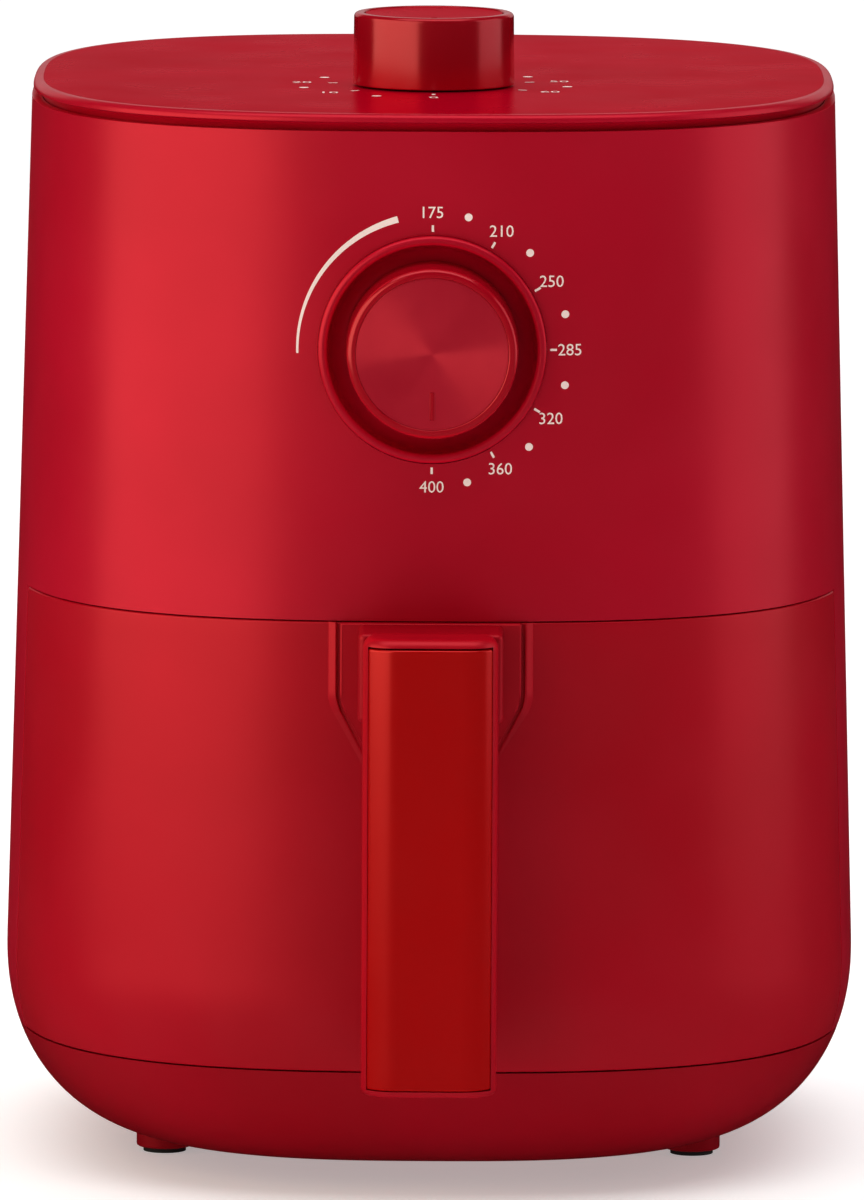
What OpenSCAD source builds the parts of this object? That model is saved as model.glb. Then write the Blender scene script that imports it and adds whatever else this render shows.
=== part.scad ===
// Compact drawer-type air fryer with a timer knob on top and a thermostat dial in front.
// Millimetres, +Z up, front towards -Y. Modules are drawn about the body's own centre line,
// and place() moves them so that the origin is under the middle of the whole object.

/* [Body] */
// Width at the belly, the widest level
belly_w = 211; // [205:1:217]
// Width at the top rim
rim_w = 199.2; // [196:0.2:204]
// Width of the flat underside
underside_w = 128; // [120:1:134]
// How much deeper than wide the body is
extra_depth = 24; // [20:1:28]
// Squareness of the plan, 2 being an ellipse
plan_power = 2.8; // [2.6:0.1:3]
// Squareness of the curve under the belly
curve_power = 2.17; // [2:0.01:2.4]
// Height of the underside over the table
underside_z = 5; // [4:0.5:6]
// Height of the belly
belly_z = 50; // [48:1:54]
// Height of the housing's top rim
rim_z = 261.6; // [259:0.2:264]
// Thickness of the plastic shells
wall = 2.4; // [2.2:0.1:2.6]

/* [Top cover] */
// Height of the cover's top face
cover_z = 266; // [265:0.2:268]
// Thickness of the cover
cover_t = 2.4; // [2:0.1:2.6]

/* [Drawer] */
// Height of the seam above the drawer
drawer_top_z = 143; // [142.5:0.1:143.5]
// Height of the seam under the drawer
drawer_bottom_z = 32.6; // [32.4:0.1:33]
// Distance of the drawer's side seams in front of the centre line
side_seam = 49.6; // [49:0.1:50.2]
// Width of the gap along the seams
seam = 0.6; // [0.5:0.1:0.8]
// Width of the pan at its rim
pan_w = 164; // [160:1:164]
// Depth of the pan from front to back
pan_d = 176; // [170:1:176]
// Height of the pan
pan_h = 97; // [92:1:97]
// Diameter of the holes in the crisper tray
tray_hole = 6; // [4:0.5:7]

/* [Handle] */
// Width of the handle
handle_w = 32.6; // [31:0.2:34]
// Height of the handle's lower end
handle_bottom_z = 31.5; // [28:0.5:40]
// How far the handle's face stands in front of the centre line
handle_reach = 147.5; // [146:0.5:150]
// Thickness of the handle from front to back
handle_t = 12.2; // [11:0.1:13]

/* [Controls] */
// Height of the thermostat dial's axis
dial_z = 209; // [205:1:212]
// Diameter of the thermostat knob at its face
dial_d = 41; // [38:0.5:42]
// Outer diameter of the ring around the dial
bezel_d = 55.2; // [54:0.2:58]
// Diameter of the timer knob
timer_d = 39.8; // [36:0.2:42]
// Height of the timer knob's top
timer_top_z = 284.1; // [280:0.1:286]
// Distance of the timer's axis in front of the centre line
timer_fore = 36; // [34:1:38]

/* [Feet] */
// Diameter of the feet
foot_d = 14; // [12:0.5:15]
// Distance of the feet from the middle plane
foot_x = 65.5; // [62:0.5:67]
// Distance of the front feet in front of the centre line
front_foot = 36; // [32:1:40]
// Distance of the rear feet behind the centre line
rear_foot = 52; // [46:1:56]

/* [Hidden] */

plan_steps = 72;      // corners of the body's plan
shell_gap = 0.3;      // clearance between neighbouring shells
tiny = 0.05;          // lets a cut run past a face
red = "#b3121d";
dark = "#2b2b2d";
black = "#161617";
steel = "#b9bcc0";
sheet_t = 0.8;        // thickness of the sheet-metal parts

half_extra = extra_depth / 2;
gland_reach = belly_w / 2 + half_extra + 3;
origin_y = (handle_reach - gland_reach) / 2;

// Heating chamber and pan share a middle a little in front of the body's centre line
oven_y = -9;
chamber_hx = 87;
chamber_front = -46.8;
chamber_back = 85;
chamber_floor_z = 35;
chamber_top_z = 146.6;
ceiling_front = -103;
chamber_r = 44;
dome_r = 75;
dome_z = 172;
pan_floor_z = 38;
pan_t = 1.4;
pan_r = 42;
pan_rim_z = pan_floor_z + pan_h;
tray_z = 52;
tray_t = 1.6;
coil_z = 152;
shaft_r = 3;
handle_top_z = drawer_top_z - seam;
bracket_y = -(belly_w / 2 + half_extra) + 2;
neck_h = 22;
neck_w = handle_w + 1.4;

module place() { translate([0, origin_y, 0]) children(); }

// ---- General shapes ----

// Half-width of the body at a height
function body_a(z) =
    z < belly_z
    ? underside_w / 2 + (belly_w - underside_w) / 2
        * pow(1 - pow((belly_z - z) / (belly_z - underside_z), curve_power), 1 / curve_power)
    : (belly_w + (rim_w - belly_w) * (z - belly_z) / (rim_z - belly_z)) / 2;

// Radius of the plan in direction t, for half-axes a and b
function plan_radius(a, b, t) =
    pow(pow(abs(cos(t)) / a, plan_power) + pow(abs(sin(t)) / b, plan_power), -1 / plan_power);

function plan_ring(a, z) = [
    for (i = [0:plan_steps - 1])
        let (t = 360 * i / plan_steps, r = plan_radius(a, a + half_extra, t))
        [r * cos(t), r * sin(t), z]
];

function plan_outline(a) = [for (p = plan_ring(a, 0)) [p.x, p.y]];

// Half-width of the plan with half-width a at distance y from the centre line
function plan_x(a, y) = a * pow(1 - pow(abs(y) / (a + half_extra), plan_power), 1 / plan_power);

// Distance of the body's front or back surface from the centre line
function body_b(z) = body_a(z) + half_extra;

// Outline of a rectangle from x -hx to hx and y front to back, with round corners
function round_rect(hx, front, back, r, steps = 9) = [
    for (corner = [[hx - r, back - r, 0], [r - hx, back - r, 90],
                   [r - hx, front + r, 180], [hx - r, front + r, 270]])
        for (i = [0:steps])
            let (t = corner.z + 90 * i / steps)
            [corner.x + r * cos(t), corner.y + r * sin(t)]
];

function lift(outline, z) = [for (p = outline) [p.x, p.y, z]];

// Solid through a list of rings with the same number of points
module loft(rings) {
    n = len(rings[0]);
    last = (len(rings) - 1) * n;
    polyhedron(
        points = [for (ring = rings) each ring],
        faces = concat(
            [[for (i = [0:n - 1]) i]],
            [for (j = [0:len(rings) - 2], i = [0:n - 1])
                let (p = j * n + i, q = j * n + (i + 1) % n)
                each [[p, p + n, q], [q, p + n, q + n]]],
            [[for (i = [n - 1:-1:0]) last + i]]
        )
    );
}

// Zeros keep the size: a lofted shell and its cuts are worked out together as one mesh
module as_mesh() { resize([0, 0, 0]) union() { children(); } }

module body_solid(levels, inset = 0) {
    loft([for (z = levels) plan_ring(body_a(z) - inset, z)]);
}

function unit(v) = v / norm(v);
function tangents(path) = [
    for (i = [0:len(path) - 1])
        unit(path[min(i + 1, len(path) - 1)] - path[max(i - 1, 0)])
];
function square_to(v, t) = unit(v - (v * t) * t);
function normals(t, first) = [
    for (i = 0, v = square_to(first, t[0]); i < len(t);
         i = i + 1, v = i < len(t) ? square_to(v, t[i]) : v) v
];

// Round bar of radius r along a path
module bar(path, r, first, sides = 10) {
    t = tangents(path);
    n = normals(t, first);
    loft([for (i = [0:len(path) - 1])
        [for (k = [0:sides - 1])
            let (turn = 360 * k / sides)
            path[i] + r * (cos(turn) * n[i] + sin(turn) * cross(t[i], n[i]))]]);
}

// Turns a shape drawn along +Z so that it points out of the front
module facing_front(y, z) { translate([0, y, z]) rotate([90, 0, 0]) children(); }

module ring_of(count, radius) {
    for (i = [0:count - 1]) rotate(360 * i / count) translate([radius, 0, 0]) children();
}

module tube(r_out, r_in, h) {
    difference() {
        cylinder(r = r_out, h = h, $fn = 64);
        translate([0, 0, -1]) cylinder(r = r_in, h = h + 2, $fn = 64);
    }
}

// Pan-head screw, head on top of z = 0 and shank below it
module screw(head_r, head_h, shank_r, shank_l) {
    difference() {
        union() {
            cylinder(r = head_r, h = head_h, $fn = 32);
            translate([0, 0, -shank_l]) cylinder(r = shank_r, h = shank_l + tiny, $fn = 24);
        }
        for (a = [0, 90])
            rotate(a) translate([-head_r * 0.6, -0.4, head_h * 0.5])
                cube([head_r * 1.2, 0.8, head_h]);
    }
}

// ---- Housing ----

shell_levels = [drawer_bottom_z + seam / 2, 36, 41, belly_z, rim_z - 0.8];
rear_window = [76, 150, 204];  // width, lowest and highest level of the rear grille
deck_boss = [92.2, 22];
base_boss = [50, 46];

module four(at) {
    for (x = [-1, 1], y = [-1, 1]) translate([x * at.x, 12 + y * at.y, 0]) children();
}

module outer_housing() {
    low_z = drawer_bottom_z + seam / 2;
    soffit_z = drawer_top_z + seam / 2;
    front_y = -side_seam + seam / 2;
    color(red) as_mesh() difference() {
        union() {
            difference() {
                loft(concat(
                    [for (z = shell_levels) plan_ring(body_a(z), z)],
                    [plan_ring(body_a(rim_z) - 0.8, rim_z)]
                ));
                body_solid(concat([low_z - 1], [36, 41, belly_z, rim_z + 1]), wall);
            }
            // rim of a soffit over the drawer's front
            intersection() {
                body_solid([soffit_z, soffit_z + wall], wall / 2);
                translate([-150, front_y - 150, soffit_z]) cube([300, 150, wall]);
            }
            // bosses that take the screws of the deck
            intersection() {
                body_solid([low_z, 44], wall / 2);
                for (x = [-1, 1], y = [-1, 1]) translate([x * deck_boss.x, 12 + y * deck_boss.y, low_z]) {
                    cylinder(r = 4.4, h = 11, $fn = 24);
                    translate([x < 0 ? -12 : 0, -2, 0]) cube([12, 4, 11]);
                }
            }
        }
        translate([-150, front_y - 150, low_z - 1]) cube([300, 150, soffit_z - low_z + 1]);
        translate([0, 0, soffit_z - 1]) linear_extrude(wall + 2) polygon(pan_outline(1));
        facing_front(-90, dial_z) cylinder(d = bezel_d + 0.2, h = 40, $fn = 72);
        translate([-rear_window[0] / 2, 90, rear_window[1]])
            cube([rear_window[0], 40, rear_window[2] - rear_window[1]]);
        translate([0, 90, gland_z]) rotate([-90, 0, 0]) cylinder(r = 7.2, h = 40, $fn = 48);
        four(deck_boss) translate([0, 0, low_z - 1]) cylinder(r = 1.5, h = 10, $fn = 16);
    }
}

module base_tub() {
    top_z = drawer_bottom_z - seam / 2;
    color(red) as_mesh() difference() {
        union() {
            difference() {
                body_solid([underside_z, 5.4, 6.4, 8.2, 11, 15, 20, 26, top_z]);
                body_solid([underside_z + wall, 8.2, 11, 16, 22, 29.7, top_z + 1], wall);
            }
            foot_places() translate([0, 0, 1.2]) cylinder(d = foot_d, h = 8, $fn = 40);
            four(base_boss) translate([0, 0, underside_z + 1]) cylinder(r = 5.6, h = 23.4, $fn = 24);
        }
        foot_places() translate([0, 0, 1]) cylinder(d = foot_d - 3, h = 2.2, $fn = 40);
        four(base_boss) cylinder(r = 2, h = 40, $fn = 20);
        four(base_boss) cylinder(r = 4.2, h = 22, $fn = 24);
    }
}

module foot_places() {
    for (x = [-foot_x, foot_x], y = [-front_foot, rear_foot]) translate([x, y, 0]) children();
}

module foot_pads() {
    color(black) foot_places() {
        cylinder(d = foot_d - 3.4, h = 3, $fn = 40);
    }
}

module base_screws() {
    color(steel) four(base_boss) translate([0, 0, 21.9]) mirror([0, 0, 1]) screw(3.6, 2, 1.6, 12);
}

module deck_screws() {
    color(steel) four(deck_boss) translate([0, 0, 29.6]) mirror([0, 0, 1]) screw(2.8, 1.6, 1.4, 11);
}

// Flat floor that closes the base tub under the drawer
module base_deck() {
    deck_z = 29.7;
    color(dark) difference() {
        union() {
            translate([0, 0, deck_z]) linear_extrude(2.1)
                polygon(plan_outline(body_a(deck_z) - wall - shell_gap));
            four(base_boss) translate([0, 0, deck_z + 2]) cylinder(r = 4, h = 2.7, $fn = 32);
        }
        four(base_boss) translate([0, 0, deck_z - 1]) cylinder(r = 1.7, h = 8, $fn = 24);
        four(deck_boss) translate([0, 0, deck_z - 1]) cylinder(r = 1.8, h = 8, $fn = 24);
    }
}

// Frame round the mouth of the chamber, seen when the drawer is out
module front_bulkhead() {
    y = -side_seam + seam / 2 + 0.2;
    levels = [32.1, 36, 41, belly_z, chamber_top_z - 1.3];
    edge = [for (z = levels) [plan_x(body_a(z) - wall, y) - 0.5, z]];
    n = len(edge);
    color(dark) difference() {
        translate([0, y + 2.2, 0]) rotate([90, 0, 0]) linear_extrude(2.2)
            polygon(concat(edge, [for (i = [n - 1:-1:0]) [-edge[i].x, edge[i].y]]));
        translate([-chamber_hx, y - 1, chamber_floor_z]) cube([chamber_hx * 2, 5, chamber_top_z]);
        translate([switch_x, y - 1, switch_z]) rotate([-90, 0, 0]) cylinder(r = 2, h = 5, $fn = 24);
    }
}

// ---- Top cover and rear parts ----

module top_cover() {
    low_z = cover_z - cover_t;
    a = rim_w / 2 - 0.2;
    color(red) as_mesh() difference() {
        union() {
            loft([plan_ring(a - 0.5, low_z), plan_ring(a, low_z + 0.5),
                  plan_ring(a, cover_z - 1), plan_ring(a - 0.35, cover_z - 0.35),
                  plan_ring(a - 1, cover_z)]);
            difference() {
                loft([plan_ring(a - 3, low_z - 8), plan_ring(a - 3, low_z + 0.5)]);
                loft([plan_ring(a - 5, low_z - 9), plan_ring(a - 5, low_z)]);
            }
        }
        translate([0, -timer_fore, low_z - 1]) cylinder(r = 4.5, h = 5, $fn = 40);
    }
}

module rear_grille() {
    half = rear_window[0] / 2 - shell_gap;
    low_z = rear_window[1] + shell_gap;
    high_z = rear_window[2] - shell_gap;
    slots = 11;
    pitch = (high_z - low_z - 3) / slots;
    color(dark) as_mesh() difference() {
        intersection() {
            difference() {
                body_solid([low_z, high_z], 0.6);
                body_solid([low_z - 1, high_z + 1], 0.6 + wall);
            }
            translate([-half, 60, low_z]) cube([half * 2, 80, high_z - low_z]);
        }
        for (i = [0:slots - 1], x = [-half + 3, 1.5])
            translate([x, 60, low_z + 2.4 + i * pitch]) cube([half - 4.5, 80, pitch - 1.9]);
    }
}

// Sheet-metal channel from the chamber's rear slots to the grille
module exhaust_duct() {
    w = 72;
    y0 = chamber_back + 0.2;
    y1 = 106.8;
    color(steel) difference() {
        translate([-w / 2, y0, 114]) cube([w, y1 - y0, 92]);
        translate([-w / 2 + sheet_t, y0 + sheet_t, 114 + sheet_t])
            cube([w - 2 * sheet_t, y1 - y0 - 2 * sheet_t, 92 - 2 * sheet_t]);
        translate([-w / 2 + 3, y0 - 1, 117]) cube([w - 6, 5, 24]);
        translate([-w / 2 + 3, y1 - 5, 152]) cube([w - 6, 10, 50]);
    }
}

gland_z = 60;
gland_bore = 3.6;

module cord_gland() {
    b = belly_w / 2 + half_extra;
    color(black) translate([0, b - 12, gland_z]) rotate([-90, 0, 0]) difference() {
        union() {
            cylinder(r = 7, h = 15, $fn = 48);
            translate([0, 0, 12 + tiny]) cylinder(r = 9.5, h = 3 - tiny, $fn = 48);
            translate([0, 0, 5.8]) cylinder(r = 9, h = 3, $fn = 6);
        }
        translate([0, 0, -1]) cylinder(r = gland_bore, h = 20, $fn = 48);
    }
}

module terminal_block() {
    color("ivory") translate([24, 89, 38]) difference() {
        cube([30, 12, 14]);
        for (x = [5, 15, 25]) translate([x, 6, 6]) cylinder(r = 2.6, h = 20, $fn = 24);
    }
}

// ---- Heating chamber ----

module chamber_outline(inset) {
    polygon(concat(
        [[chamber_hx - inset, chamber_front]],
        [for (p = round_rect(chamber_hx - inset, 0, chamber_back - inset, chamber_r - inset))
            if (p.y > chamber_r) p],
        [[inset - chamber_hx, chamber_front]]
    ));
}

// Roof of the chamber, with the dome over the fan
module heating_chamber() {
    top_z = chamber_top_z;
    color(steel) difference() {
        union() {
            translate([0, 0, top_z - sheet_t]) linear_extrude(sheet_t)
                polygon(round_rect(chamber_hx, ceiling_front, chamber_back, chamber_r));
            translate([0, oven_y, top_z - sheet_t])
                cylinder(r = dome_r, h = dome_z - top_z + sheet_t, $fn = 96);
        }
        translate([0, oven_y, top_z - 3])
            cylinder(r = dome_r - sheet_t, h = dome_z - top_z + 3 - sheet_t, $fn = 96);
        translate([0, oven_y, dome_z - 3]) cylinder(r = 6, h = 6, $fn = 32);
        for (p = coil_feedthroughs) translate([p.x, p.y, dome_z - 3]) cylinder(r = 4.5, h = 6, $fn = 32);
        translate([capillary_x, capillary_hole_y, top_z - 3]) cylinder(r = 2.4, h = 6, $fn = 24);
    }
}

// Side and rear walls of the chamber, bent from one strip
module chamber_wrap() {
    low_z = chamber_floor_z + sheet_t + 0.02;
    high_z = chamber_top_z - sheet_t - 0.02;
    color(steel) difference() {
        translate([0, 0, low_z]) linear_extrude(high_z - low_z) chamber_outline(0);
        translate([0, 0, low_z - 1]) linear_extrude(high_z) chamber_outline(sheet_t);
        translate([-chamber_hx + sheet_t, chamber_front - 1, low_z - 1])
            cube([(chamber_hx - sheet_t) * 2, 10, high_z]);
        for (x = [-28:14:28]) translate([x - 4.5, chamber_back - 3, 118]) cube([9, 6, 22]);
    }
}

module chamber_floor() {
    color(steel) translate([0, 0, chamber_floor_z]) linear_extrude(sheet_t) chamber_outline(0);
}

module glide_strips() {
    color("white") for (x = [-52, 52])
        translate([x - 5, -44, chamber_floor_z + sheet_t + 0.05]) cube([10, 112, 1.85]);
}

module wire_ring(radius, r) {
    rotate_extrude($fn = 96) translate([radius, 0]) circle(r = r, $fn = 24);
}

// Wire guard under the element: rings standing on three spokes that meet in a small disc
module element_guard() {
    color(steel) translate([0, oven_y, 144.6]) {
        for (radius = [28, 49, 70]) wire_ring(radius, 0.9);
        cylinder(r = 8, h = 1, $fn = 40);
        ring_of(3, 0) translate([0, -1.5, -0.9]) cube([78, 3, 1.2]);
    }
}

coil_out = 62;
coil_in = 46;
leg_out = 64;
coil_r = 3;
leg_top_z = 181;
function polar(radius, angle, z) = [radius * cos(angle), oven_y + radius * sin(angle), z];
coil_feedthroughs = [polar(leg_out, 105, 0), polar(leg_out, 90, 0)];

// Tube bent into a double ring, both ends turned up through the roof at the back
module heating_element() {
    path = concat(
        [polar(leg_out, 105, leg_top_z), polar(leg_out, 105, 160), polar(leg_out, 105.4, 156),
         polar(63, 107, 153)],
        [for (a = [112:15:427]) polar(coil_out, a, coil_z)],
        [polar(60, 433, coil_z), polar(54, 436.4, coil_z), polar(48, 433, coil_z)],
        [for (a = [427:-15:112]) polar(coil_in, a, coil_z)],
        [polar(coil_in, 101, coil_z), polar(48, 94, coil_z), polar(54, 90, coil_z),
         polar(61, 90, 153), polar(63.6, 90, 156), polar(leg_out, 90, 160),
         polar(leg_out, 90, leg_top_z)]
    );
    color("#5b5f63") bar(path, coil_r, [1, 0, 0]);
}

module element_brackets() {
    color(steel) translate([0, oven_y, 0]) for (a = [40, 160, 280]) rotate(a) {
        translate([34, -3, coil_z - coil_r - 1.6]) cube([38, 6, 1]);
        translate([71, -3, coil_z - coil_r - 1.6]) cube([1, 6, dome_z - sheet_t - coil_z + coil_r + 1.5]);
    }
}

// ---- Fan, motor and the plates that carry them ----

module heat_shield() {
    color(steel) translate([0, oven_y, 0]) difference() {
        translate([0, 0, 162]) cylinder(r = 82, h = 14, $fn = 96);
        translate([0, 0, 161]) cylinder(r = 82 - sheet_t, h = 15 - sheet_t, $fn = 96);
        cylinder(r = 6, h = 200, $fn = 32);
        ring_of(3, 36) cylinder(r = 1.8, h = 200, $fn = 24);
        translate([0, -oven_y, 0]) for (p = coil_feedthroughs)
            translate([p.x, p.y, 0]) cylinder(r = 5, h = 200, $fn = 32);
    }
}

module thermal_cutout() {
    color(black) translate([-54, oven_y, 176.1]) {
        cylinder(r = 8, h = 7, $fn = 40);
        for (x = [-6, 6]) translate([x - 2.5, -0.4, 6.9]) cube([5, 0.8, 7]);
    }
}

module motor_bracket() {
    color(steel) translate([0, oven_y, 0]) difference() {
        union() {
            translate([0, 0, 179.6]) cylinder(r = 42, h = 1.5, $fn = 72);
            ring_of(3, 36) translate([0, 0, 176.1]) cylinder(r = 4, h = 4, $fn = 32);
        }
        cylinder(r = 9, h = 200, $fn = 40);
        ring_of(3, 36) cylinder(r = 1.8, h = 200, $fn = 24);
    }
}

module motor_screws() {
    color(steel) translate([0, oven_y, 181.2]) ring_of(3, 36) screw(3.4, 2, 1.6, 8.8);
}

module motor() {
    color("#8d9094") translate([0, oven_y, 0]) difference() {
        union() {
            translate([0, 0, 181.2]) cylinder(r = 25, h = 24, $fn = 72);
            translate([0, 0, 205]) cylinder(r = 9, h = 4, $fn = 40);
            translate([0, 0, 177]) cylinder(r = 8, h = 5, $fn = 40);
            for (z = [186, 198]) translate([0, 0, z]) cylinder(r = 27, h = 1.5, $fn = 72);
        }
        translate([0, 0, 170]) cylinder(r = shaft_r + 0.05, h = 60, $fn = 40);
    }
}

module motor_shaft() {
    color(steel) translate([0, oven_y, 153.4]) cylinder(r = shaft_r, h = 70, $fn = 40);
}

module impeller_nut() {
    color(steel) translate([0, oven_y, 154.2]) difference() {
        cylinder(r = 5.4, h = 3.6, $fn = 6);
        translate([0, 0, -1]) cylinder(r = shaft_r + 0.05, h = 6, $fn = 40);
    }
}

module fan_impeller() {
    z = 158;
    color("#9a9da1") translate([0, oven_y, z]) difference() {
        union() {
            cylinder(r = 9, h = 10, $fn = 40);
            translate([0, 0, 9]) cylinder(r = 54, h = 1, $fn = 96);
            ring_of(8, 30) rotate(18) translate([-20, -0.5, 0]) cube([41, 1, 9.5]);
        }
        translate([0, 0, -1]) cylinder(r = shaft_r + 0.05, h = 20, $fn = 40);
    }
}

module cooling_fan() {
    color(dark) translate([0, oven_y, 214]) difference() {
        union() {
            cylinder(r = 8, h = 8, $fn = 40);
            ring_of(6, 19) translate([0, 0, 4]) rotate([32, 0, 0])
                cube([26, 12, 1.2], center = true);
        }
        translate([0, 0, -6]) cylinder(r = shaft_r + 0.05, h = 30, $fn = 40);
    }
}

// ---- Timer ----

module at_timer(z) { translate([0, -timer_fore, z]) children(); }

module timer_mechanism() {
    z = 236;
    color(steel) at_timer(z) difference() {
        union() {
            translate([-20, -18, 0]) cube([40, 36, 20]);
            translate([-27, -18, 20]) cube([54, 36, 1.2]);
            cylinder(r = 5.5, h = 25.5, $fn = 40);
            for (x = [-14, 14]) translate([x - 2.5, 17.9, 6]) cube([5, 8, 0.9]);
        }
        translate([0, 0, 8]) cylinder(r = shaft_r + 0.1, h = 30, $fn = 40);
        for (x = [-24, 24]) translate([x, 0, 15]) cylinder(r = 1.8, h = 10, $fn = 24);
    }
}

module timer_bell() {
    color("#d8dadc") at_timer(235.8) mirror([0, 0, 1]) difference() {
        intersection() {
            translate([0, 0, -14]) sphere(r = 24, $fn = 72);
            cylinder(r = 30, h = 20, $fn = 72);
        }
        translate([0, 0, -14]) sphere(r = 23, $fn = 72);
        translate([0, 0, -1]) cylinder(r = 2, h = 20, $fn = 24);
    }
}

module timer_shaft() {
    color(steel) at_timer(245) difference() {
        cylinder(r = shaft_r, h = 33, $fn = 40);
        translate([-5, shaft_r - 1, 23]) cube([10, 5, 20]);
    }
}

module timer_knob() {
    r = timer_d / 2;
    low = cover_z + 0.5;
    h = timer_top_z - low;
    color(red) at_timer(low) difference() {
        rotate_extrude($fn = 96) polygon([
            [0, 0], [r, 0], [r, 0.4], [r - 0.25, h - 1], [r - 0.55, h - 0.3], [r - 1.2, h],
            [r - 2.4, h], [r - 2.8, h - 0.9], [0, h - 0.9]
        ]);
        difference() {
            translate([0, 0, -1]) cylinder(r = r - 2, h = h - 2.4, $fn = 72);
            cylinder(r = 6.5, h = h, $fn = 40);
        }
        translate([0, 0, -1]) cylinder(r = shaft_r + 0.05, h = 12.6, $fn = 40);
    }
}

// Thin disc with the timer's pointer, set into the knob's top
module timer_knob_cap() {
    r = timer_d / 2 - 3.1;
    color(red) at_timer(timer_top_z - 0.88) {
        cylinder(r = r, h = 0.6, $fn = 96);
        translate([-0.7, -r + 1.2, 0.55]) cube([1.4, 8, 0.35]);
    }
}

// ---- Thermostat ----

bezel_y = -body_b(dial_z);

// Ring and shallow dish that the dial stands in
module dial_bezel() {
    r = bezel_d / 2;
    color(red) facing_front(bezel_y, dial_z) difference() {
        rotate_extrude($fn = 120) polygon([
            [4, -8.4], [r, -8.4], [r, 0.9], [r - 0.25, 1.25], [r - 0.65, 1.4], [r - 1.05, 1.25],
            [r - 1.3, 0.9], [r - 1.8, -1.4], [r - 2.8, -4], [r - 4.4, -5.6], [r - 6.4, -6.2], [4, -6.2]
        ]);
        translate([0, 0, -12]) cylinder(r = 4, h = 20, $fn = 40);
    }
}

module thermostat() {
    y = bezel_y + 8.5;
    color(steel) facing_front(y, dial_z) mirror([0, 0, 1]) difference() {
        union() {
            translate([-26, -7, 0]) cube([52, 14, 1.2]);
            translate([0, 0, 1.1]) cylinder(r = 17, h = 17, $fn = 64);
            for (x = [-8, 8]) translate([x - 3, 8, 18]) cube([6, 0.9, 8]);
            translate([9, -9, 18]) cylinder(r = 3, h = 3, $fn = 32);
        }
        translate([0, 0, -1]) cylinder(r = shaft_r + 0.1, h = 14, $fn = 40);
    }
}

capillary_x = 78;
capillary_hole_y = -38;
bulb_z = 141;

// Fluid-filled tube from the thermostat to the bulb beside the chamber's ceiling
module capillary_tube() {
    path = [
        [9, -82, 200], [12, -79, 197], [24, -84, 190], [42, -84, 178], [58, -76, 166],
        [70, -64, 157], [77, -50, 153], [78, -42, 151], [78, -38.6, 148], [78, -38, 145],
        [78, -37, 142.6], [78, -34, 141.2], [78, -29, 141]
    ];
    color("#b87333") {
        bar(path, 0.9, [0, 0, 1], 8);
        translate([capillary_x, -30, bulb_z]) rotate([-90, 0, 0]) cylinder(r = 2.2, h = 52, $fn = 32);
    }
}

module thermostat_shaft() {
    color(steel) facing_front(bezel_y + 16, dial_z) difference() {
        cylinder(r = shaft_r, h = 23, $fn = 40);
        translate([-5, shaft_r - 1, 14]) cube([10, 5, 20]);
    }
}

dial_out = 10.4;  // how far the knob's face stands in front of the body

module thermostat_knob() {
    r = dial_d / 2;
    back = -5.6;
    color(red) facing_front(bezel_y, dial_z) difference() {
        rotate_extrude($fn = 120) polygon([
            [0, back], [r + 0.6, back], [r + 0.6, back + 1], [r + 0.15, dial_out - 1.3],
            [r - 0.5, dial_out - 0.45], [r - 1.2, dial_out], [r - 1.9, dial_out],
            [r - 2, dial_out - 0.7], [0, dial_out - 0.7]
        ]);
        difference() {
            translate([0, 0, back - 1]) cylinder(r = r - 2, h = 12, $fn = 72);
            translate([0, 0, back]) cylinder(r = 6.5, h = 14, $fn = 40);
        }
        translate([0, 0, back - 1]) cylinder(r = shaft_r + 0.05, h = 13.8, $fn = 40);
    }
}

// Spun disc set into the knob, with the pointer towards the lower end of the scale
module thermostat_knob_face() {
    r = dial_d / 2 - 2.1;
    color(red) facing_front(bezel_y - dial_out + 0.65, dial_z) {
        cylinder(r = r, h = 0.45, $fn = 120);
        translate([-0.55, -16, 0.4]) cube([1.1, 6.8, 0.25]);
    }
}

// ---- Safety switch ----

switch_x = 91.6;
switch_z = 112;

module safety_switch() {
    y = -side_seam + seam / 2 + 2.6;
    color(black) difference() {
        translate([switch_x - 3, y, switch_z - 10]) cube([6, 16, 20]);
        translate([switch_x, y - 1, switch_z]) rotate([-90, 0, 0]) cylinder(r = 1.57, h = 8, $fn = 24);
        for (z = [-6, 6]) translate([switch_x - 4, y + 12, switch_z + z])
            rotate([0, 90, 0]) cylinder(r = 1.2, h = 8, $fn = 20);
    }
}

module switch_plunger() {
    color("white") translate([switch_x, -side_seam, switch_z]) rotate([-90, 0, 0])
        cylinder(r = 1.5, h = 7.6, $fn = 24);
}

// ---- Drawer ----

drawer_y = -side_seam - seam / 2;
drawer_low = drawer_bottom_z + seam / 2;
drawer_high = drawer_top_z - seam / 2;
pan_front = oven_y - pan_d / 2;
pan_back = oven_y + pan_d / 2;

function pan_outline(out) =
    round_rect(pan_w / 2 + out, pan_front - out, pan_back + out, pan_r + out);

// Outline of the bracket's plate, grown by out: straight sides, then drawn in downwards
module surround_outline(out) {
    half = 21.9 + out;
    bend = 123.4 - out * 0.2;
    end_x = 9 + out * 0.8;
    end_z = 91.5 - out;
    polygon([
        [half, drawer_high + out], [half, bend], [end_x, end_z],
        [-end_x, end_z], [-half, bend], [-half, drawer_high + out]
    ]);
}

module surround_plate(out, y_low, y_high) {
    translate([0, y_low, 0]) rotate([90, 0, 0]) linear_extrude(y_low - y_high)
        surround_outline(out);
}

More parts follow.
